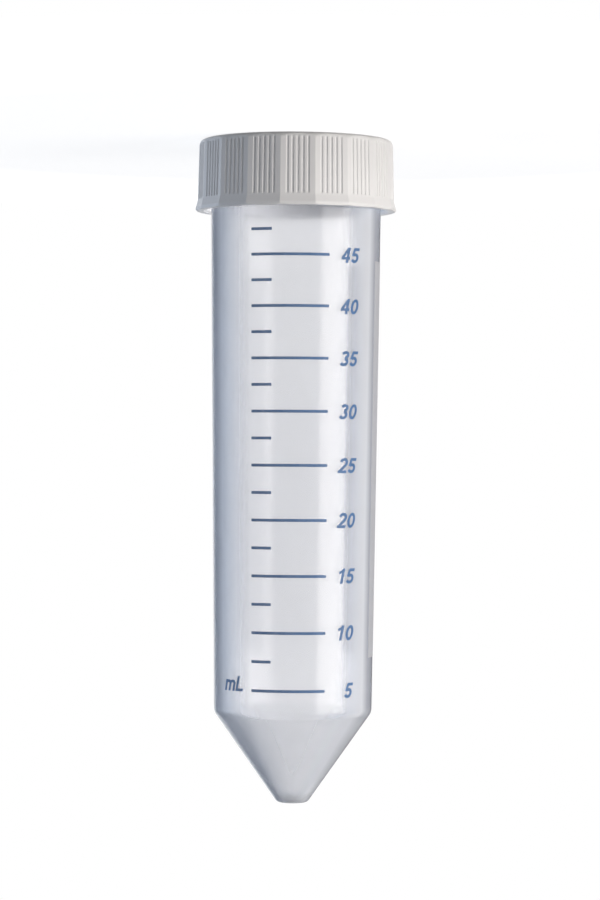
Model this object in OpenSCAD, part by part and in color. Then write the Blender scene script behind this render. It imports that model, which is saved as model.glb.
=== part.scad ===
// 50 ml conical tube with a screw cap, standing on its head as it can on a bench.
//
// A round tube with a pointed end can't stand on its tip and rolls when it lies, so the
// closed tube stands on the flat top of its cap. Every piece is drawn the right way up on
// its own axis: the tip on z = 0, the mouth up and the scale facing -Y. stand_on_cap()
// then turns the whole tube over. Millimetres and degrees throughout. Angles around the
// tube are counted from the middle of the front, positive to the right.

/* [Tube] */
// Length of the tube from the tip to the mouth
tube_h = 113.6; // [95:0.1:140]
// Outside diameter of the straight neck and of the top of the barrel
neck_d = 29.5; // [25:0.1:36]
// Slope of the barrel wall, which narrows towards the cone
draft = 0.7; // [0.2:0.05:1.4]
// Thickness of the wall
wall = 1.1; // [0.8:0.05:1.6]
// Height of the cone from the flat of the tip to the shoulder
cone_h = 15.8; // [12:0.1:22]
// Diameter of the flat under the tip, measured before its edge is rounded
tip_d = 5.2; // [4:0.1:8]
// Thickness of the floor inside the tip
tip_floor = 1.5; // [1:0.1:2.5]
// Radius of the rounded shoulder between the barrel and the cone
shoulder_r = 2; // [1:0.1:4]
// Radius of the rounded edge of the tip
tip_r = 1; // [0.4:0.1:1.4]
// Radius of the two rounded edges of the mouth
mouth_edge_r = 0.3; // [0.1:0.05:0.35]

/* [Neck thread] */
// Length of the straight neck that the cap covers
neck_h = 11; // [9:0.1:13]
// Height of the thread over the neck
thread_h = 0.7; // [0.4:0.05:1]
// Rise of the thread in one turn
thread_pitch = 3; // [2.4:0.1:3.6]
// Number of turns of the thread
thread_turns = 1.5; // [1:0.25:2]
// Width of the thread where it meets the neck
thread_root_w = 1.6; // [1.2:0.1:2]
// Width of the thread at its crest
thread_crest_w = 0.7; // [0.3:0.1:1]
// Distance from the mouth down to the middle of the thread's upper end
thread_top_gap = 2; // [1.5:0.1:2.6]

/* [Screw cap] */
// Height of the cap over all
cap_h = 12.4; // [11:0.1:16]
// Thickness of the flat top
cap_top_t = 1.4; // [1:0.1:2]
// Thickness of the skirt at the top, measured at its corners
skirt_wall = 1.15; // [1:0.05:1.8]
// Slope of the outside of the skirt, which widens downwards
skirt_draft = 1.5; // [0.5:0.1:2.5]
// Radius of the rounded edge around the top
cap_edge_r = 1.1; // [0.6:0.1:1.3]
// How far the rim stands out from the foot of the skirt
rim_out = 0.3; // [0.15:0.05:0.6]
// Height of the straight foot of the rim
rim_h = 0.6; // [0.55:0.05:1]
// Radius of the lower edge of the rim
rim_edge_r = 0.4; // [0.2:0.05:0.5]
// Height over which the skirt widens to the rim
flare_h = 1.3; // [0.6:0.1:2]
// Gap between the crest of the thread and the bore of the cap
thread_gap = 0.2; // [0.1:0.05:0.4]
// Gap between the mouth and the underside of the top
seal_gap = 0.02; // [0.01:0.01:0.1]
// Depth of the ring that plugs the mouth
plug_h = 2.2; // [1.2:0.1:3]
// Thickness of the ring that plugs the mouth
plug_wall = 0.8; // [0.6:0.1:1.2]
// Gap between the plug ring and the inside of the mouth
plug_gap = 0.08; // [0.05:0.01:0.2]

/* [Grip of the cap] */
// Number of flats around the skirt
flats = 18; // [16:1:24]
// Angle from the front to the middle of the nearest flat
flats_turn = 1.1; // [-10:0.1:10]
// Number of grooves in the middle of each flat
grooves = 5; // [3:1:5]
// Distance from one groove to the next
groove_pitch = 0.88; // [0.7:0.02:0.9]
// Radius of the round bottom of a groove
groove_r = 0.26; // [0.2:0.02:0.3]
// Depth of a groove
groove_depth = 0.25; // [0.15:0.05:0.35]
// Distance from the top of the cap down to the grooves
groove_top_gap = 0.9; // [0.6:0.1:2]
// Distance from the widening of the skirt up to the grooves
groove_foot_gap = 0.2; // [0.1:0.1:2]

/* [Scale] */
// Thickness of every printed layer
print_t = 0.06; // [0.03:0.01:0.12]
// Highest volume on the scale, in millilitres
scale_top = 47.5; // [20:2.5:47.5]
// Volume between two long lines, in millilitres
scale_step = 5; // [5:5:10]
// Width of the printed lines
line_w = 0.5; // [0.3:0.05:0.8]
// Angle at which all lines start
line_start = -30.6; // [-40:0.2:-24]
// Angle at which the short lines end
short_line_end = -15.9; // [-20:0.2:-8]
// Angle at which the long lines end
long_line_end = 23.2; // [10:0.2:26]
// Angle at which the numbers end
number_end = 48.8; // [46:0.2:56]
// Height of the numbers
number_h = 2.6; // [1.6:0.1:3]
// Height of the unit beside the lowest number
unit_h = 2.6; // [1.6:0.1:3]
// Gap between the unit and the start of the lowest line
unit_gap = 1.3; // [0.6:0.1:2]
// Width of a figure, as a share of its height
figure_w = 0.67; // [0.5:0.01:0.72]
// Lean of the figures
lean = 13; // [0:1:18]
// Thickness of the strokes, as a share of the height of a figure
stroke_share = 0.19; // [0.12:0.01:0.22]
// Gap between two figures, as a share of their height
figure_gap = 0.1; // [0.05:0.01:0.2]

/* [Writing area] */
// Angle at which the writing area starts
writing_start = 69; // [62:1:80]
// Angle at which the writing area ends
writing_end = 137; // [110:1:160]
// Distance from the shoulder up to the writing area
writing_foot_gap = 9.7; // [4:0.1:20]
// Distance from the foot of the cap down to the writing area
writing_top_gap = 8.8; // [4:0.1:20]

/* [Hidden] */
$fn = 120;

// Tube: the outside
neck_r = neck_d / 2;
neck_z = tube_h - neck_h;
slope = tan(draft);
shoulder_out = neck_r - (neck_z - cone_h) * slope;
cone_slope = (shoulder_out - tip_d / 2) / cone_h;

// Tube: the inside, one wall in from the outside along each face
bore_r = neck_r - wall;
cone_in = wall * sqrt(1 + cone_slope * cone_slope);
shoulder_in_z = cone_h + (cone_in - wall) / (cone_slope - slope);
shoulder_in = shoulder_out - wall + (shoulder_in_z - cone_h) * slope;
floor_in = tip_d / 2 + tip_floor * cone_slope - cone_in;
inner_corner_r = max(shoulder_r - wall, 0.4);
floor_corner_r = min(floor_in, 1);

// Volume of a cone frustum, and of the hollow of the cone, in cubic millimetres
mm3_per_ml = 1000;
function frustum(r_low, r_high, h) = PI * h * (r_low * r_low + r_low * r_high + r_high * r_high) / 3;
cone_volume = frustum(floor_in, shoulder_in, shoulder_in_z - tip_floor);

// Height at which a volume stands in the upright tube, where that is above the cone:
// the liquid over the cone is a frustum too, so its upper radius gives its height
function level_r(ml) =
    pow(pow(shoulder_in, 3) + 3 * slope * (ml * mm3_per_ml - cone_volume) / PI, 1 / 3);
function level(ml) = shoulder_in_z + (level_r(ml) - shoulder_in) / slope;

// Radius of the outside of the barrel at a height
function barrel_r(z) = neck_r - (neck_z - z) * slope;

// Cap, in its own frame with the foot of the skirt at z = 0
total_h = tube_h + seal_gap + cap_top_t;
cap_z = total_h - cap_h;
cap_bore_r = neck_r + thread_h + thread_gap;
cap_inside_h = cap_h - cap_top_t;
cap_top_r = cap_bore_r + skirt_wall;
plug_r = bore_r - plug_gap;
function skirt_r(z) = cap_top_r + (cap_h - z) * tan(skirt_draft);
rim_r = skirt_r(0) + rim_out;

// Figures on the scale: the lines have to lie on the barrel, clear of its ends
line_room = 1;
minor_step = scale_step / 2;
function on_barrel(ml) = level(ml) > cone_h + line_room + number_h / 2
                         && level(ml) < cap_z - line_room - line_w;
long_marks = [for (ml = [scale_step:scale_step:scale_top]) if (on_barrel(ml)) ml];
short_marks = [for (ml = [scale_step + minor_step:scale_step:scale_top]) if (on_barrel(ml)) ml];

// ---- Outlines ----

function unit(v) = v / norm(v);

// Points of an arc around c, of radii rx and ry
function arc(c, rx, ry, from, to, steps) =
    [for (i = [0:steps]) let (a = from + (to - from) * i / steps) c + [rx * cos(a), ry * sin(a)]];

// Centre of the arc of radius r that rounds the corner p between a and b
function corner_centre(a, p, b, r) =
    let (u = unit(a - p), v = unit(b - p), half = acos(u * v) / 2)
    p + unit(u + v) * r / sin(half);

// Points that round the corner p between a and b
function corner(a, p, b, r, steps = 6) =
    let (u = unit(a - p), v = unit(b - p), half = acos(u * v) / 2, c = corner_centre(a, p, b, r),
         start = p + u * r / tan(half) - c, end = p + v * r / tan(half) - c,
         from = atan2(start[1], start[0]), turn = atan2(end[1], end[0]) - from,
         sweep = turn > 180 ? turn - 360 : turn < -180 ? turn + 360 : turn)
    arc(c, r, r, from, from + sweep, steps);

// Half section of the tube: up the outside, over the mouth and down the inside
tip_edge = [tip_d / 2, 0];
shoulder_edge = [shoulder_out, cone_h];
neck_edge = [neck_r, neck_z];
mouth_out = [neck_r, tube_h];
mouth_in = [bore_r, tube_h];
neck_in = [bore_r, neck_z];
shoulder_in_edge = [shoulder_in, shoulder_in_z];
floor_edge = [floor_in, tip_floor];
tube_outline = concat(
    [[0, 0]],
    corner([0, 0], tip_edge, shoulder_edge, tip_r),
    corner(tip_edge, shoulder_edge, neck_edge, shoulder_r),
    [neck_edge],
    corner(neck_edge, mouth_out, mouth_in, mouth_edge_r),
    corner(mouth_out, mouth_in, neck_in, mouth_edge_r),
    [neck_in],
    corner(neck_in, shoulder_in_edge, floor_edge, inner_corner_r),
    corner(shoulder_in_edge, floor_edge, [0, tip_floor], floor_corner_r),
    [[0, tip_floor]]
);

// Half section of the cap: down the outside, around the rim and up the inside
top_edge = [cap_top_r, cap_h];
flare_top = [skirt_r(rim_h + flare_h), rim_h + flare_h];
rim_top = [rim_r, rim_h];
rim_foot = [rim_r, 0];
plug_foot = cap_inside_h - plug_h;
plug_lead = min(0.4, plug_wall / 2);
cap_outline = concat(
    [[0, cap_h]],
    corner([0, cap_h], top_edge, flare_top, cap_edge_r),
    [flare_top, rim_top],
    corner(rim_top, rim_foot, [0, 0], rim_edge_r),
    [[cap_bore_r + rim_edge_r, 0], [cap_bore_r, rim_edge_r], [cap_bore_r, cap_inside_h],
     [plug_r, cap_inside_h], [plug_r, plug_foot + plug_lead], [plug_r - plug_lead, plug_foot],
     [plug_r - plug_wall, plug_foot], [plug_r - plug_wall, cap_inside_h], [0, cap_inside_h]]
);

// Turns an upright piece over about the front's axis, with the top of the cap on z = 0
module stand_on_cap() {
    translate([0, 0, total_h])
        rotate([0, 180, 0])
            children();
}

// ---- Tube ----

// Section of the thread at one step: four corners, sunk into the neck by half a wall
thread_steps = ceil(thread_turns * 48);
thread_fade = 4;    // steps over which each end of the thread rises to its full height
thread_end = 0.05;  // share of the height that is left at the very ends
function thread_section(i) =
    let (a = 360 * thread_turns * i / thread_steps,
         full = min(1, thread_end + min(i, thread_steps - i) / thread_fade),
         crest = neck_r + thread_h * full, root = neck_r - wall / 2,
         z = tube_h - thread_top_gap - thread_pitch * (thread_turns - a / 360),
         dir = [cos(a), sin(a)])
    [for (c = [[root, -thread_root_w / 2], [crest, -thread_crest_w / 2],
               [crest, thread_crest_w / 2], [root, thread_root_w / 2]])
        [dir[0] * c[0], dir[1] * c[0], z + c[1]]];

// Two triangles for each side of the thread between two neighbouring sections
function thread_sides(i) =
    [for (k = [0:3]) let (a = 4 * i + k, b = 4 * i + (k + 1) % 4)
        each [[a, b, b + 4], [a, b + 4, a + 4]]];

module thread() {
    last = 4 * thread_steps;
    polyhedron(
        points = [for (i = [0:thread_steps]) each thread_section(i)],
        faces = concat(
            [for (i = [0:thread_steps - 1]) each thread_sides(i)],
            [[0, 3, 2], [0, 2, 1], [last, last + 1, last + 2], [last, last + 2, last + 3]]
        )
    );
}

module tube() {
    color("aliceblue", 0.5)
    stand_on_cap() {
        rotate_extrude()
            polygon(tube_outline);
        thread();
    }
}

// ---- Screw cap ----

// What is cut from the skirt for one flat and its grooves, at the front. The flat follows the
// skirt and the rim down, as far in as the middle of a side between two corners lies.
module flat_and_grooves() {
    side_share = cos(180 / flats);
    flat_w = 2.2 * rim_r * tan(180 / flats);
    flat_edge = [[skirt_r(2 * cap_h), 2 * cap_h], flare_top, rim_top, [rim_r, -rim_h]];
    beyond = [[2 * rim_r, -rim_h], [2 * rim_r, 2 * cap_h]];
    rotate([90, 0, 90])
        linear_extrude(flat_w, center = true)
            polygon([for (p = concat(flat_edge, beyond)) [-p[0] * side_share, p[1]]]);

    groove_foot = rim_h + flare_h + groove_foot_gap;
    groove_h = (cap_h - groove_top_gap - groove_foot) / cos(skirt_draft);
    translate([0, -skirt_r(groove_foot) * side_share, groove_foot])
        rotate([-atan(tan(skirt_draft) * side_share), 0, 0])
            for (i = [0:grooves - 1])
                translate([(i - (grooves - 1) / 2) * groove_pitch, groove_depth - groove_r, 0])
                    cylinder(r = groove_r, h = groove_h, $fn = 24);
}

module screw_cap() {
    color("whitesmoke")
    stand_on_cap()
    translate([0, 0, cap_z])
    difference() {
        rotate_extrude()
            polygon(cap_outline);
        for (i = [0:flats - 1])
            rotate([0, 0, flats_turn + i * 360 / flats])
                flat_and_grooves();
    }
}

// ---- Print ----

// A printed layer on the barrel, from height z0 to z1 and from angle a0 to a1
module print_field(z0, z1, a0, a1) {
    rotate_extrude(angle = a1 - a0, start = a0 - 90)
        polygon([[barrel_r(z0), z0], [barrel_r(z0) + print_t, z0],
                 [barrel_r(z1) + print_t, z1], [barrel_r(z1), z1]]);
}

// Angle that a length on the barrel takes up at a height
function arc_angle(length, z) = length / barrel_r(z) * 180 / PI;

module graduation_lines() {
    color("royalblue")
    stand_on_cap() {
        for (ml = long_marks)
            print_field(level(ml) - line_w / 2, level(ml) + line_w / 2, line_start, long_line_end);
        for (ml = short_marks)
            print_field(level(ml) - line_w / 2, level(ml) + line_w / 2, line_start, short_line_end);
    }
}

// Figures are drawn one unit wide and one unit high, and then narrowed to their width. Each is
// a list of strokes, and each stroke a line of points.
edge = stroke_share / 2;
edge_x = edge / figure_w;
bowl = 0.5 - edge_x;
function figure(c) =
    c == "1" ? [[[0.63, 0], [0.63, 1]], [[0.63, 0.86], [0.17, 0.7]]] :
    c == "2" ? [concat(arc([0.5, 0.68], bowl, 0.32 - edge, 165, -35, 10), [[0.17, edge]]),
                [[0, edge], [1, edge]]] :
    c == "3" ? [arc([0.47, 0.73], bowl - 0.02, 0.27 - edge, 155, -90, 10),
                arc([0.47, 0.29], bowl + 0.02, 0.29 - edge, 90, -155, 10)] :
    c == "4" ? [[[0.7, 0], [0.7, 1]], [[0, 0.3], [1, 0.3]], [[0.07, 0.3], [0.67, 0.95]]] :
    c == "5" ? [[[0.2, 1 - edge], [0.93, 1 - edge]], [[0.28, 1 - edge], [0.18, 0.47]],
                arc([0.47, 0.33], bowl, 0.33 - edge, 135, -155, 10)] :
    c == "m" ? [[[edge_x, 0], [edge_x, 0.74]], m_arch(0.45), m_arch(1.2 - edge_x)] :
    c == "L" ? [[[edge_x, 0], [edge_x, 1]], [[0, edge], [0.93, edge]]] : [];
function m_arch(x) =
    concat(arc([x, 0.5], 0.45 - edge_x, 0.24 - edge, 180, 0, 8), [[x + 0.45 - edge_x, 0]]);
function figure_width(c) = figure_w * (c == "m" ? 1.65 - edge_x : c == "L" ? 0.93 : 1);
function narrowed(p) = [for (q = p) [q[0] * figure_w, q[1]]];

// Where a figure starts in a word, and how wide the word is
function figure_x(word, i) =
    i == 0 ? 0 : figure_x(word, i - 1) + figure_width(word[i - 1]) + figure_gap;
function word_width(word) = figure_x(word, len(word) - 1) + figure_width(word[len(word) - 1]);

// The outline of one stroke, leaning
function side(p, i, s) =
    let (last = len(p) - 1,
         before = i > 0 ? unit(p[i] - p[i - 1]) : unit(p[1] - p[0]),
         after = i < last ? unit(p[i + 1] - p[i]) : before,
         mid = unit(before + after), reach = s / (mid * after))
    p[i] + [-mid[1], mid[0]] * reach;
function leaning(p) = [for (q = p) [q[0] + q[1] * tan(lean), q[1]]];
function stroke_outline(p) =
    leaning(concat([for (i = [0:len(p) - 1]) side(p, i, edge)],
                   [for (i = [len(p) - 1:-1:0]) side(p, i, -edge)]));

// A nought is an oval with an oval hole, and the other figures are open strokes
oval_steps = 24;
function oval(rx, ry) =
    [for (i = [0:oval_steps - 1]) let (a = 360 * i / oval_steps)
        [figure_w / 2 + rx * cos(a), 0.5 + ry * sin(a)]];
module figure_shape(c) {
    if (c == "0")
        difference() {
            polygon(leaning(oval(figure_w / 2, 0.5)));
            polygon(leaning(oval(figure_w / 2 - stroke_share, 0.5 - stroke_share)));
        }
    else
        for (p = figure(c))
            polygon(stroke_outline(narrowed(p)));
}

// A word printed on the barrel: its foot at height z, its middle at an angle. The word is
// cut out of a printed field that is a little larger than the word on every side.
word_room = 0.3;
module printed_word(word, h, z, angle) {
    spread = half_angle(word, h, z) + arc_angle(word_room, z);
    intersection() {
        print_field(z - word_room, z + h + word_room, angle - spread, angle + spread);
        rotate([0, 0, angle])
            translate([-(word_width(word) + tan(lean)) * h / 2, -neck_r / 2, z])
                rotate([90, 0, 0])
                    linear_extrude(neck_r)
                        scale(h)
                            for (i = [0:len(word) - 1])
                                translate([figure_x(word, i), 0])
                                    figure_shape(word[i]);
    }
}

// Half the angle that a word takes up, seen from its middle
function half_angle(word, h, z) = asin((word_width(word) + tan(lean)) * h / 2 / barrel_r(z));

module numbers() {
    color("royalblue")
    stand_on_cap()
        for (ml = long_marks)
            printed_word(str(ml), number_h, level(ml) - number_h / 2,
                         number_end - half_angle(str(ml), number_h, level(ml)));
}

module unit_label() {
    z = level(long_marks[0]) - line_w / 2;
    color("royalblue")
    stand_on_cap()
        printed_word("mL", unit_h, z,
                     line_start - arc_angle(unit_gap, z) - half_angle("mL", unit_h, z));
}

module writing_area() {
    color("white")
    stand_on_cap()
        print_field(cone_h + writing_foot_gap, cap_z - writing_top_gap, writing_start, writing_end);
}

tube();
screw_cap();
graduation_lines();
numbers();
unit_label();
writing_area();
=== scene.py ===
# 50 ml conical tube with a screw cap, standing on its head on a pale floor.
# Pieces are drawn upright, tip on z = 0 and front towards -Y, and then turned over.
# Lengths in the dictionaries are in millimetres, angles in degrees.
import math

import bpy
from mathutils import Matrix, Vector


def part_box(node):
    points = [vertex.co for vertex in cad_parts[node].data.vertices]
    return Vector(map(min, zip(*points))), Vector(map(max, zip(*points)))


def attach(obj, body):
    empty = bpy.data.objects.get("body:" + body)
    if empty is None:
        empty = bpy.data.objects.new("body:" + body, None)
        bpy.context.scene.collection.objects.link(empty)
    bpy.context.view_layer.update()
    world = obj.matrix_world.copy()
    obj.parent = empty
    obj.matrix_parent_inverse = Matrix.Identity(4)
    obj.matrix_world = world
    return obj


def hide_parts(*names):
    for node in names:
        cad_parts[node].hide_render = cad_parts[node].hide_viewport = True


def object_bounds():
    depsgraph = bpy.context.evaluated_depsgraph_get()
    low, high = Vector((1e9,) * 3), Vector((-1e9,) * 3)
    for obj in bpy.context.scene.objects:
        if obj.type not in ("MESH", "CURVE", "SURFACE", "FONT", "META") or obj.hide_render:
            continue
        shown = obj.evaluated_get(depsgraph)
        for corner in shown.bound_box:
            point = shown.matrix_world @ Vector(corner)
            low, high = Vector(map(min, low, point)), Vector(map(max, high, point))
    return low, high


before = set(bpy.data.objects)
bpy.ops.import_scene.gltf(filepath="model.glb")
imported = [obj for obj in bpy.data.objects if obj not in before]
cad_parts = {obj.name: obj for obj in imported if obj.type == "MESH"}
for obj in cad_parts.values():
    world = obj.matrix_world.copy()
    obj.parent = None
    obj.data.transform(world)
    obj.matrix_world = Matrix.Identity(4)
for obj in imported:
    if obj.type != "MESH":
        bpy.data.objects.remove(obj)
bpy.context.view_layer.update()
mm = 0.001
sameSpot = 1e-7                            # metres between two points that count as one
roundingSegments = 6
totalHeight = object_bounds()[1].z / mm        # from the top of the cap to the tip
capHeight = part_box("screw_cap")[1].z / mm  # from its flat top to the foot of the skirt
capFoot = totalHeight - capHeight


def deselectAll():
    bpy.ops.object.select_all(action="DESELECT")


def only(piece):
    deselectAll()
    piece.select_set(True)
    bpy.context.view_layer.objects.active = piece


# leaves only those vertices selected for which choose(vertex) holds, in edit mode
def selectWhere(piece, choose):
    bpy.ops.object.mode_set(mode="OBJECT")
    mesh = piece.data
    for part in (mesh.polygons, mesh.edges):
        part.foreach_set("select", [False] * len(part))
    mesh.vertices.foreach_set("select", [bool(choose(v)) for v in mesh.vertices])
    bpy.ops.object.mode_set(mode="EDIT")
    bpy.ops.mesh.select_mode(type="VERT")


# selects the whole piece in edit mode
def editAll(piece):
    only(piece)
    bpy.ops.object.mode_set(mode="EDIT")
    bpy.ops.mesh.select_all(action="SELECT")


def applyModifier(piece, kind, **settings):
    only(piece)
    modifier = piece.modifiers.new(kind.title(), kind)
    for name, value in settings.items():
        setattr(modifier, name, value)
    bpy.ops.object.modifier_apply(modifier=modifier.name)


# a chain of edges from (radius, height, rounding) corners, rounded by a vertex bevel
def drawOutline(name, corners):
    points = [Vector((r, 0, z)) * mm for r, z, rounding in corners]
    deselectAll()
    bpy.ops.mesh.primitive_plane_add(size=mm)
    piece = bpy.context.object
    piece.name = name
    bpy.ops.object.mode_set(mode="EDIT")
    bpy.ops.mesh.select_all(action="SELECT")
    bpy.ops.mesh.merge(type="CENTER")
    bpy.ops.transform.translate(value=points[0])
    for here, there in zip(points, points[1:]):
        bpy.ops.mesh.extrude_region_move(TRANSFORM_OT_translate={"value": there - here})
    for i, (r, z, rounding) in enumerate(corners):
        if rounding:
            before, after = (points[j] - points[i] for j in (i - 1, (i + 1) % len(points)))
            reach = rounding * mm / math.tan(before.angle(after) / 2)
            selectWhere(piece, lambda v: (v.co - points[i]).length < sameSpot)
            bpy.ops.mesh.bevel(offset=reach, offset_type="OFFSET", segments=roundingSegments,
                               profile=0.5, affect="VERTICES", clamp_overlap=False)
    return piece


# spins the outline into a closed solid
def lathe(name, corners, steps):
    piece = drawOutline(name, corners)
    bpy.ops.mesh.select_all(action="SELECT")
    bpy.ops.mesh.spin(steps=steps, angle=2 * math.pi, center=(0, 0, 0), axis=(0, 0, 1))
    bpy.ops.mesh.select_all(action="SELECT")
    bpy.ops.mesh.remove_doubles(threshold=sameSpot)
    bpy.ops.mesh.normals_make_consistent(inside=False)
    bpy.ops.object.mode_set(mode="OBJECT")
    return piece


# turns a piece that was drawn upright over, so that it stands on the cap
def turnOver(piece):
    editAll(piece)
    bpy.ops.transform.rotate(value=math.pi, orient_axis="Y", orient_type="GLOBAL",
                             center_override=(0, 0, totalHeight * mm / 2))
    bpy.ops.object.mode_set(mode="OBJECT")


def smooth(piece, angle):
    only(piece)
    bpy.ops.object.shade_smooth_by_angle(angle=math.radians(angle))


cameraSet = {
    "place": (-0.98, -550, 53.8),
    "lens": 126.5,
    "lean": 0.37,
    "clip": (0.01, 20),    # metres
}

cameraData = bpy.data.cameras.new("camera")
cameraData.lens = cameraSet["lens"]
cameraData.clip_start, cameraData.clip_end = cameraSet["clip"]
camera = bpy.data.objects.new("camera", cameraData)
bpy.context.scene.collection.objects.link(camera)
camera.location = Vector(cameraSet["place"]) * mm
# looks along +Y and is rolled over, so that the tube is seen the right way up
camera.rotation_euler = (math.radians(-90), math.radians(cameraSet["lean"]), math.radians(180))
bpy.context.scene.camera = camera
print("camera in place")


floorSet = {
    "radius": 160,
    "sides": 96,
    "drop": 0.02,       # below the cap
    "colour": (0.9, 0.9, 0.9, 1),
    "bounce": (0.4, 0.4, 0.4, 1),    # the paint that lights the dull surfaces near it
    "shadow": 0.65,     # share of the floor's own light and shade at the middle
    "even": 0.5,        # part of the radius over which that share holds before it fades
    "lift": 1.99,       # what is added to the white there, to stay white where nothing shades it
}

worldSet = {
    "fill": (0.18, 0.188, 0.208, 1),     # light from all around
    "white": (1, 1, 1, 1),               # what is seen behind the object
}

warmLight = (1, 0.95, 0.90)
coolLight = (0.82, 0.93, 1.1)

lampSet = {
    # name: colour, watts, angle right of the camera, height, distance, width, height of the lamp
    "keySoftbox": (warmLight, 3.2, 56, 90, 600, 460, 300),
    "leftSoftbox": (coolLight, 2.2, -108, 90, 600, 600, 420),
}

flagSet = {
    # name: angle right of the camera, width
    "leftFlag": (-98, 900),
    "rearFlag": (148, 280),
    "distance": 260,
    "height": 420,      # and as far again below the floor
    "fade": 0.35,       # share of its half width over which an edge fades out
    "colour": (0.05, 0.055, 0.07, 1),
}


# a Math node on two sockets or numbers
def calculate(tree, operation, first, second):
    node = tree.nodes.new("ShaderNodeMath")
    node.operation = operation
    for socket, value in zip(node.inputs, (first, second)):
        if isinstance(value, (int, float)):
            socket.default_value = value
        else:
            tree.links.new(value, socket)
    return node.outputs[0]


# which rays see the plain white: the camera's, and those mirrored or let through before
# they light a dull surface
def seenDirectly(tree):
    path = tree.nodes.new("ShaderNodeLightPath")
    seen = calculate(tree, "MAXIMUM", path.outputs["Is Camera Ray"], path.outputs["Is Glossy Ray"])
    seen = calculate(tree, "MAXIMUM", seen, path.outputs["Is Transmission Ray"])
    unscattered = calculate(tree, "LESS_THAN", path.outputs["Diffuse Depth"], 1)
    return calculate(tree, "MULTIPLY", seen, unscattered)


def makeWorld():
    world = bpy.data.worlds.new("studio")
    bpy.context.scene.world = world
    world.use_nodes = True
    tree = world.node_tree
    tree.nodes.clear()
    fill = tree.nodes.new("ShaderNodeBackground")
    fill.inputs["Color"].default_value = worldSet["fill"]
    white = tree.nodes.new("ShaderNodeBackground")
    white.inputs["Color"].default_value = worldSet["white"]
    mix = tree.nodes.new("ShaderNodeMixShader")
    out = tree.nodes.new("ShaderNodeOutputWorld")
    tree.links.new(seenDirectly(tree), mix.inputs[0])
    tree.links.new(fill.outputs[0], mix.inputs[1])
    tree.links.new(white.outputs[0], mix.inputs[2])
    tree.links.new(mix.outputs[0], out.inputs["Surface"])


# a round white floor that takes the object's shadow and fades into the white around it
def makeFloor():
    deselectAll()
    bpy.ops.mesh.primitive_circle_add(
        vertices=floorSet["sides"], radius=floorSet["radius"] * mm, fill_type="NGON",
        location=(0, 0, -floorSet["drop"] * mm))
    floor = bpy.context.object
    floor.name = "floor"
    material = bpy.data.materials.new("floorWhite")
    material.use_nodes = True
    tree = material.node_tree
    tree.nodes.clear()
    coords = tree.nodes.new("ShaderNodeTexCoord")
    middle = tree.nodes.new("ShaderNodeMapping")
    middle.inputs["Scale"].default_value = (1 / (floorSet["radius"] * mm),) * 3
    fade = tree.nodes.new("ShaderNodeTexGradient")
    fade.gradient_type = "SPHERICAL"
    share = calculate(tree, "MULTIPLY", fade.outputs["Fac"],
                      floorSet["shadow"] / (1 - floorSet["even"]))
    share = calculate(tree, "MINIMUM", share, floorSet["shadow"])
    strength = calculate(tree, "ADD", calculate(tree, "MULTIPLY", share, floorSet["lift"]), 1)
    white = tree.nodes.new("ShaderNodeEmission")
    paint = tree.nodes.new("ShaderNodeBsdfDiffuse")
    paint.inputs["Color"].default_value = floorSet["colour"]
    bounce = tree.nodes.new("ShaderNodeBsdfDiffuse")
    bounce.inputs["Color"].default_value = floorSet["bounce"]
    lit = tree.nodes.new("ShaderNodeMixShader")
    seen = tree.nodes.new("ShaderNodeMixShader")
    out = tree.nodes.new("ShaderNodeOutputMaterial")
    link = tree.links.new
    link(coords.outputs["Object"], middle.inputs["Vector"])
    link(middle.outputs[0], fade.inputs["Vector"])
    link(share, lit.inputs[0])
    link(strength, white.inputs["Strength"])
    link(white.outputs[0], lit.inputs[1])
    link(paint.outputs[0], lit.inputs[2])
    link(seenDirectly(tree), seen.inputs[0])
    link(bounce.outputs[0], seen.inputs[1])
    link(lit.outputs[0], seen.inputs[2])
    link(seen.outputs[0], out.inputs["Surface"])
    floor.data.materials.append(material)


# a place at an angle to the right, as the camera sees it, and at a height
def around(angle, distance, height):
    turn = math.radians(angle)
    return Vector((-math.sin(turn) * distance, -math.cos(turn) * distance, height)) * mm


def makeLamp(name, colour, watts, angle, height, distance, width, tall):
    data = bpy.data.lights.new(name, "AREA")
    data.shape = "RECTANGLE"
    data.size, data.size_y = width * mm, tall * mm
    data.energy = watts
    data.color = colour
    lamp = bpy.data.objects.new(name, data)
    bpy.context.scene.collection.objects.link(lamp)
    lamp.location = around(angle, distance, height)
    towards = around(angle, -1, 0)
    lamp.rotation_euler = towards.to_track_quat("-Z", "Y").to_euler()


# a dark card beside the tube, which only mirrored and scattered light meets
def makeFlag(name, angle, width, cloth):
    place = around(angle, flagSet["distance"], 0)
    deselectAll()
    bpy.ops.mesh.primitive_plane_add(size=mm, location=place)
    flag = bpy.context.object
    flag.name = name
    flag.scale = (width, 2 * flagSet["height"], 1)
    flag.rotation_euler = place.to_track_quat("Z", "Y").to_euler()
    flag.data.materials.append(cloth)
    flag.visible_camera = False
    flag.visible_transmission = False
    flag.visible_shadow = False


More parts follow.
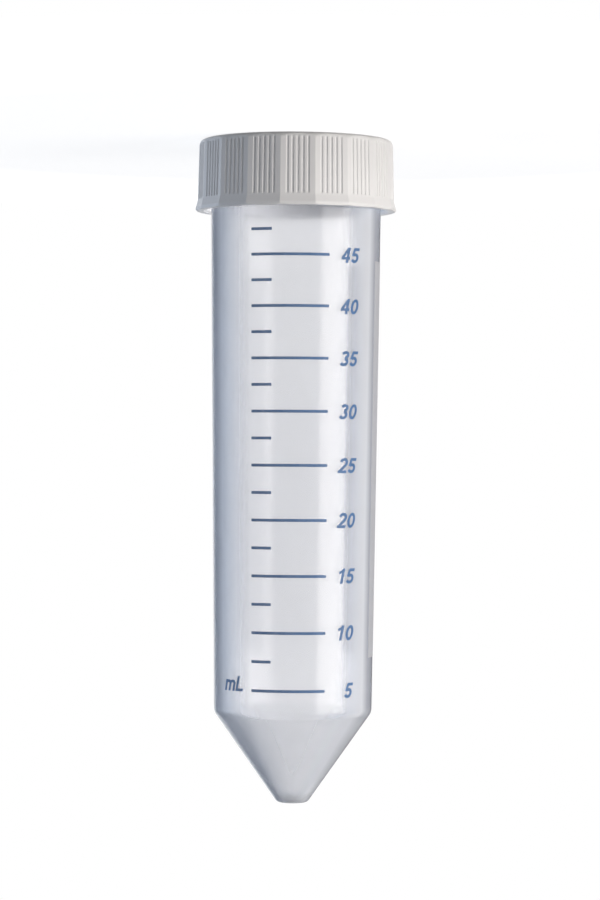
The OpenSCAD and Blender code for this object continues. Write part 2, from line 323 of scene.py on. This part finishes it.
def makeFlagCloth():
    material = bpy.data.materials.new("flagCloth")
    material.use_nodes = True
    tree = material.node_tree
    cloth = tree.nodes["Principled BSDF"]
    cloth.inputs["Base Color"].default_value = flagSet["colour"]
    cloth.inputs["Roughness"].default_value = 1
    coords = tree.nodes.new("ShaderNodeTexCoord")
    across = tree.nodes.new("ShaderNodeSeparateXYZ")
    tree.links.new(coords.outputs["Object"], across.inputs[0])
    half = mm / 2    # of the card before it is scaled
    away = calculate(tree, "ABSOLUTE", across.outputs["X"], 0)
    inwards = calculate(tree, "SUBTRACT", half, away)
    cover = calculate(tree, "DIVIDE", inwards, half * flagSet["fade"])
    tree.links.new(calculate(tree, "MINIMUM", cover, 1), cloth.inputs["Alpha"])
    return material


makeWorld()
makeFloor()
for name, values in lampSet.items():
    makeLamp(name, *values)
flagCloth = makeFlagCloth()
for name in ("leftFlag", "rearFlag"):
    makeFlag(name, *flagSet[name], flagCloth)
bpy.context.scene.view_settings.view_transform = "Standard"
print("floor, world and lamps in place")


tubeSize = {
    "steps": 288,
    "wall": 1.1,
    "neckRadius": 14.75,
    "neckFoot": 102.6,
    "mouth": 113.6,
    "mouthRounding": 0.3,
    "shoulderRadius": 13.69,
    "shoulder": 15.8,
    "shoulderRounding": 2,
    "innerShoulderRadius": 12.594,
    "innerShoulder": 16.154,
    "tipRadius": 2.6,
    "tipRounding": 1,
    "floorRadius": 2.309,
    "floor": 1.5,
    "floorRounding": 1,
    "smoothAngle": 35,
}

threadSize = {
    "turns": 1.5,
    "pitch": 3,
    "start": 107.1,       # height of the middle of the lower end
    "rootWidth": 1.6,
    "crestWidth": 0.7,
    "height": 0.7,
    "sunk": 0.4,          # how far its foot is buried in the wall
    "stepsPerTurn": 48,
    "fade": 4,            # steps over which each end rises
    "endRise": 0.05,      # share of the height that is left at the very end
}


# a helical ridge that stands up from root radius by rise, outwards or inwards
def makeRidge(name, size, root, rise, start):
    half, top = size["rootWidth"] / 2, size["crestWidth"] / 2
    foot, crest = root - math.copysign(size["sunk"], rise), root + rise
    section = [
        (foot, start - half, 0), (root, start - half, 0), (crest, start - top, 0),
        (crest, start + top, 0), (root, start + half, 0), (foot, start + half, 0),
    ]
    piece = drawOutline(name, section)
    bpy.ops.mesh.select_all(action="SELECT")
    bpy.ops.mesh.edge_face_add()
    bpy.ops.mesh.delete(type="ONLY_FACE")
    bpy.ops.object.mode_set(mode="OBJECT")
    steps = int(size["stepsPerTurn"] * size["turns"])
    applyModifier(piece, "SCREW", angle=2 * math.pi * size["turns"], steps=steps,
                  render_steps=steps, screw_offset=size["pitch"] * size["turns"] * mm)
    count = len(section)
    for v in piece.data.vertices:
        step = v.index // count
        share = min(1, size["endRise"] + min(step, steps - step) / size["fade"])
        flat = Vector((v.co.x, v.co.y, 0))
        over = (flat.length / mm - root) / rise
        if over > 0:
            v.co += flat.normalized() * (share - 1) * over * rise * mm
    for end in (0, steps):
        selectWhere(piece, lambda v: v.index // count == end)
        bpy.ops.mesh.edge_face_add()    # closes this end
    bpy.ops.mesh.select_all(action="SELECT")
    bpy.ops.mesh.normals_make_consistent(inside=False)
    bpy.ops.object.mode_set(mode="OBJECT")
    return piece


def makeTube():
    size = tubeSize
    bore = size["neckRadius"] - size["wall"]
    rounding = size["mouthRounding"]
    innerRounding = size["shoulderRounding"] - size["wall"]
    shell = lathe("tubeShell", [
        (0, 0, 0), (size["tipRadius"], 0, size["tipRounding"]),
        (size["shoulderRadius"], size["shoulder"], size["shoulderRounding"]),
        (size["neckRadius"], size["neckFoot"], 0),
        (size["neckRadius"], size["mouth"], rounding), (bore, size["mouth"], rounding),
        (bore, size["neckFoot"], 0),
        (size["innerShoulderRadius"], size["innerShoulder"], innerRounding),
        (size["floorRadius"], size["floor"], size["floorRounding"]), (0, size["floor"], 0),
    ], size["steps"])
    ridge = makeRidge("neckThread", threadSize, size["neckRadius"], threadSize["height"],
                      threadSize["start"])
    applyModifier(shell, "BOOLEAN", operation="UNION", object=ridge, solver="EXACT")
    bpy.data.objects.remove(ridge)
    turnOver(shell)
    smooth(shell, size["smoothAngle"])
    return shell


tubeShell = makeTube()
print("tube modelled:", len(tubeShell.data.polygons), "faces")


capSize = {
    "topRadius": 16.8,
    "topRounding": 1.1,
    "skirtSlope": math.tan(math.radians(1.5)),
    "flareTop": 1.9,
    "flareRounding": 0.08,
    "rimRadius": 17.425,
    "rimHeight": 0.6,
    "rimRounding": 0.4,
    "bore": 15.65,
    "mouthChamfer": 0.4,
    "mouthRounding": 0.1,
    "boreRounding": 0.3,      # where the bore meets the top
    "topThickness": 1.4,
    "plugRadius": 13.57,
    "plugWall": 0.8,
    "plugDepth": 2.2,
    "plugChamfer": (0.35, 0.4),
    "plugFootRounding": 0.1,
    "plugRounding": 0.2,      # where the plug meets the top
    "skin": 1,                # what lies more than this beyond the bore is the outside
    "smoothAngle": 30,
}

gripSize = {
    "flats": 18,
    "turn": 1.1,              # from the front to the middle of the nearest flat
    "grooves": 5,
    "pitch": 0.88,
    "radius": 0.26,
    "depth": 0.21,
    "foot": 2.1,
    "topGap": 0.9,
    "fade": 0.35,             # height over which a groove runs out
    "topRings": (0.35, 0.8, 2),    # in fades below the top ends of the grooves
    "footRings": (2, 0.5, 0.25, 0, -0.25, -0.5),    # in fades above their lower ends
    "acrossGroove": (-0.3, -0.26, -0.2, -0.11, 0, 0.11, 0.2, 0.26, 0.3),
    "beside": (2.5, 2.86),
}

capThreadSize = dict(threadSize, rootWidth=1.4, crestWidth=0.6, height=0.6,
                     start=threadSize["start"] - threadSize["pitch"] / 2)


# places of the columns of faces across one flat, from its left corner
def columnOffsets():
    grip = gripSize
    middle = (grip["grooves"] - 1) / 2
    across = [(i - middle) * grip["pitch"] + u
              for i in range(grip["grooves"]) for u in grip["acrossGroove"]]
    return [None] + [-u for u in reversed(grip["beside"])] + across + list(grip["beside"])


# how deep the grooves are at a place across a flat
def grooveDepth(across):
    grip = gripSize
    middle = (grip["grooves"] - 1) / 2
    nearest = min(max(round(across / grip["pitch"] + middle), 0), grip["grooves"] - 1)
    u = across - (nearest - middle) * grip["pitch"]
    inside = grip["radius"] ** 2 - u * u
    return max(0, math.sqrt(max(inside, 0)) + grip["depth"] - grip["radius"])


# an even slope from 0 to 1 made soft at both ends
def ease(share):
    share = min(max(share, 0), 1)
    return share * share * (3 - 2 * share)


# outside of the round cap before it is pressed, at a height over the foot of the skirt
def capRadius(height):
    size = capSize
    if height < size["flareTop"]:
        share = max(0, height - size["rimHeight"]) / (size["flareTop"] - size["rimHeight"])
        return size["rimRadius"] + share * (capRadius(size["flareTop"]) - size["rimRadius"])
    return size["topRadius"] + (capHeight - height) * size["skirtSlope"]


# presses the flats and the grooves into the round skirt
def pressGrip(cap, columns):
    size, grip = capSize, gripSize
    half = math.pi / grip["flats"]
    apothem = math.cos(half)
    offsets = columnOffsets()
    angles = [-half if u is None else math.atan(u / size["topRadius"] / apothem) for u in offsets]
    for v in cap.data.vertices:
        radius = math.hypot(v.co.x, v.co.y) / mm
        height = v.co.z / mm
        if radius * mm < sameSpot:
            continue    # in the middle
        column = round(math.atan2(v.co.y, v.co.x) / (2 * math.pi) * columns) % columns
        flat, place = divmod(column, len(offsets))
        away = angles[place]
        if radius > size["bore"] + size["skin"]:
            radius = min(radius, capRadius(height) * apothem / math.cos(away))
            if offsets[place] is not None:
                run = min(height - grip["foot"], capHeight - grip["topGap"] - height)
                # half deep at its ends
                radius -= grooveDepth(offsets[place]) * ease(run / grip["fade"] + 0.5)
        turn = 2 * half * flat + away + math.radians(grip["turn"]) - math.pi / 2
        v.co.x, v.co.y = radius * mm * math.cos(turn), radius * mm * math.sin(turn)


def makeCap():
    size, grip = capSize, gripSize
    rim, bore, plug = size["rimRadius"], size["bore"], size["plugRadius"]
    inside = capHeight - size["topThickness"]
    plugFoot = inside - size["plugDepth"]
    plugInner = plug - size["plugWall"]
    plugIn, plugUp = size["plugChamfer"]
    mouthCut, mouthSoft = size["mouthChamfer"], size["mouthRounding"]
    footSoft, rootSoft = size["plugFootRounding"], size["plugRounding"]

    def skirt(height):
        return (capRadius(height), height, 0)

    grooveTop = capHeight - grip["topGap"]
    rings = [skirt(grooveTop - grip["fade"] * s) for s in grip["topRings"]]
    rings += [skirt(grip["foot"] + grip["fade"] * s) for s in grip["footRings"]]
    columns = grip["flats"] * len(columnOffsets())
    cap = lathe("screwCap", [
        (0, capHeight, 0), (size["topRadius"], capHeight, size["topRounding"]),
        *rings, skirt(size["flareTop"]), (rim, size["rimHeight"], size["flareRounding"]),
        (rim, 0, size["rimRounding"]),
        (bore + mouthCut, 0, mouthSoft), (bore, mouthCut, mouthSoft),
        (bore, inside, size["boreRounding"]), (plug, inside, rootSoft),
        (plug, plugFoot + plugUp, footSoft), (plug - plugIn, plugFoot, footSoft),
        (plugInner, plugFoot, footSoft), (plugInner, inside, rootSoft), (0, inside, 0),
    ], columns)
    pressGrip(cap, columns)
    editAll(cap)
    bpy.ops.transform.translate(value=(0, 0, capFoot * mm))
    bpy.ops.object.mode_set(mode="OBJECT")
    ridge = makeRidge("capThread", capThreadSize, bore, -capThreadSize["height"],
                      capThreadSize["start"])
    deselectAll()
    ridge.select_set(True)
    cap.select_set(True)
    bpy.context.view_layer.objects.active = cap
    bpy.ops.object.join()
    turnOver(cap)
    smooth(cap, size["smoothAngle"])
    return cap


screwCap = makeCap()
print("cap modelled:", len(screwCap.data.polygons), "faces")


noiseLook = {
    "cloudDetail": 3,
    "grainDetail": 4,
    "span": (0.35, 0.65),    # values between which most of the noise lies
}

plasticLook = {
    "clouds": 60,            # scales of the broad and the fine noise
    "grain": 350,
    "relief": (0.01, 0.05),  # strength of the bumps and their depth
    "stretch": (1, 1, 0.35),     # draws the noise out along the tube
    "colour": ((0.915, 0.917, 0.935, 1), (0.945, 0.947, 0.96, 1)),
    # darker, bluer colours where the wall is seen aslant: partly the milky wall's own tint, partly
    # painted shade on the tube's edges
    "edgeColourAndShade": (0.75, 0.775, 0.815, 1),
    "rimColourAndShade": (0.50, 0.525, 0.585, 1),
    "roughness": (0.12, 0.16),
    "transmission": 0.92,
    "edgeTransmission": 0.24,
    "edge": (0.16, 0.52, 0.66),   # how far it is turned away where these three looks lie
    "letsLampThrough": (0.97, 0.975, 0.98, 1),
    "ior": 1.49,
    "specular": 0.38,
    "specularTint": (0.32, 0.32, 0.32, 1),
    "murk": (0.61, 0.63, 0.665, 1),
    "murkDensity": 140,
    "frost": (14, 17),    # frosted below the first height over the tip, clear above the second
    "frostTransmission": 0.8,
    # how much of the painted edge shade stays on the frosted tip
    "frostRimShade": 0.25,
}

capLook = {
    "clouds": 90,
    "grain": 3500,
    "relief": (0.12, 0.02),
    "stretch": (1, 1, 1),
    "colour": ((0.93, 0.928, 0.925, 1), (0.96, 0.958, 0.955, 1)),
    "roughness": (0.36, 0.48),
}

inkLook = {
    "clouds": 900,
    "grain": 5000,
    "relief": (0.15, 0.02),
    "stretch": (1, 1, 1),
    "colour": ((0.06, 0.17, 0.385, 1), (0.072, 0.188, 0.415, 1)),
    "roughness": (0.45, 0.6),
    "specular": 0.25,
    "alpha": 0.68,
}

writingLook = {
    "clouds": 400,
    "grain": 4000,
    "relief": (0.3, 0.03),
    "stretch": (1, 1, 1),
    "colour": ((0.66, 0.665, 0.69, 1), (0.70, 0.705, 0.73, 1)),
    "roughness": (0.75, 0.9),
    "alpha": 0.6,
}


# a Map Range node on a socket
def mapRange(tree, value, start, end, low, high):
    node = tree.nodes.new("ShaderNodeMapRange")
    limits = {"From Min": start, "From Max": end, "To Min": low, "To Max": high}
    for name, limit in limits.items():
        node.inputs[name].default_value = limit
    tree.links.new(value, node.inputs["Value"])
    return node.outputs["Result"]


# a Principled surface whose colour, gloss and fine relief come from noise at two scales
def makeSurface(name, look):
    material = bpy.data.materials.new(name)
    material.use_nodes = True
    tree = material.node_tree
    surface = tree.nodes["Principled BSDF"]
    link = tree.links.new
    coords = tree.nodes.new("ShaderNodeTexCoord")
    mapping = tree.nodes.new("ShaderNodeMapping")
    mapping.inputs["Scale"].default_value = look["stretch"]
    link(coords.outputs["Object"], mapping.inputs["Vector"])
    clouds = tree.nodes.new("ShaderNodeTexNoise")
    clouds.inputs["Scale"].default_value = look["clouds"]
    clouds.inputs["Detail"].default_value = noiseLook["cloudDetail"]
    grain = tree.nodes.new("ShaderNodeTexNoise")
    grain.inputs["Scale"].default_value = look["grain"]
    grain.inputs["Detail"].default_value = noiseLook["grainDetail"]
    for noise in (clouds, grain):
        link(mapping.outputs[0], noise.inputs["Vector"])
    tint = tree.nodes.new("ShaderNodeValToRGB")
    low, high = tint.color_ramp.elements
    low.position, high.position = noiseLook["span"]
    low.color, high.color = look["colour"]
    gloss = mapRange(tree, grain.outputs["Fac"], *noiseLook["span"], *look["roughness"])
    strength, depth = look["relief"]
    bump = tree.nodes.new("ShaderNodeBump")
    bump.inputs["Strength"].default_value = strength
    bump.inputs["Distance"].default_value = depth * mm
    link(clouds.outputs["Fac"], tint.inputs["Fac"])
    link(tint.outputs["Color"], surface.inputs["Base Color"])
    link(gloss, surface.inputs["Roughness"])
    link(grain.outputs["Fac"], bump.inputs["Height"])
    link(bump.outputs["Normal"], surface.inputs["Normal"])
    return material, surface


mixFirst, mixSecond, mixResult = 6, 7, 2    # sockets of a Mix node that mixes colours


# milky towards the edges, where the wall is seen aslant, and darker and bluer there, partly the
# wall's own tint and partly painted shade; open to the rays from the lamps
def clearPlastic():
    look = plasticLook
    material, surface = makeSurface("clearPolypropylene", look)
    tree = material.node_tree
    link = tree.links.new
    weight = tree.nodes.new("ShaderNodeLayerWeight")
    coords = tree.nodes.new("ShaderNodeTexCoord")
    along = tree.nodes.new("ShaderNodeSeparateXYZ")
    link(coords.outputs["Object"], along.inputs[0])
    frostEnd, frostStart = ((totalHeight - height) * mm for height in look["frost"])

    def aslant(start, end, low, high):
        return mapRange(tree, weight.outputs["Facing"], start, end, low, high)

    def nearTip(plain, frosted):
        return mapRange(tree, along.outputs["Z"], frostStart, frostEnd, plain, frosted)

    start, middle, end = look["edge"]
    # share of the darkest colour, painted shade at the edges, weaker on the frosted tip
    rimShadeShare = calculate(tree, "MULTIPLY", aslant(middle, end, 0, 1), nearTip(1, look["frostRimShade"]))
    tint = surface.inputs["Base Color"].links[0].from_socket
    for share, colour in ((aslant(start, middle, 0, 1), look["edgeColourAndShade"]),
                          (rimShadeShare, look["rimColourAndShade"])):
        blend = tree.nodes.new("ShaderNodeMix")
        blend.data_type = "RGBA"
        blend.inputs[mixSecond].default_value = colour
        link(share, blend.inputs[0])
        link(tint, blend.inputs[mixFirst])
        tint = blend.outputs[mixResult]
    link(tint, surface.inputs["Base Color"])
    clear = calculate(tree, "MINIMUM", nearTip(look["transmission"], look["frostTransmission"]),
                      aslant(start, middle, look["transmission"], look["edgeTransmission"]))
    surface.inputs["Transmission Weight"].default_value = look["transmission"]
    link(clear, surface.inputs["Transmission Weight"])
    surface.inputs["IOR"].default_value = look["ior"]
    surface.inputs["Specular IOR Level"].default_value = look["specular"]
    surface.inputs["Specular Tint"].default_value = look["specularTint"]
    path = tree.nodes.new("ShaderNodeLightPath")
    opening = tree.nodes.new("ShaderNodeBsdfTransparent")
    opening.inputs["Color"].default_value = look["letsLampThrough"]
    mix = tree.nodes.new("ShaderNodeMixShader")
    link(path.outputs["Is Shadow Ray"], mix.inputs[0])
    link(surface.outputs[0], mix.inputs[1])
    link(opening.outputs[0], mix.inputs[2])
    link(mix.outputs[0], tree.nodes["Material Output"].inputs["Surface"])
    murk = tree.nodes.new("ShaderNodeVolumeAbsorption")
    murk.inputs["Color"].default_value = look["murk"]
    murk.inputs["Density"].default_value = look["murkDensity"]
    link(murk.outputs[0], tree.nodes["Material Output"].inputs["Volume"])
    return material


def coverWith(piece, material):
    piece.data.materials.clear()
    piece.data.materials.append(material)


scaleInk, inkSurface = makeSurface("scaleInk", inkLook)
inkSurface.inputs["Specular IOR Level"].default_value = inkLook["specular"]
inkSurface.inputs["Alpha"].default_value = inkLook["alpha"]
writingInk, writingSurface = makeSurface("writingInk", writingLook)
writingSurface.inputs["Alpha"].default_value = writingLook["alpha"]
capPlastic = makeSurface("capPolyethylene", capLook)[0]
coverWith(tubeShell, clearPlastic())
coverWith(screwCap, capPlastic)
for name in ("graduation_lines", "numbers", "unit_label"):
    coverWith(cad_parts[name], scaleInk)
coverWith(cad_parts["writing_area"], writingInk)
print("materials made")


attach(tubeShell, "tube")
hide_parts("tube")
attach(screwCap, "cap")
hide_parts("screw_cap")
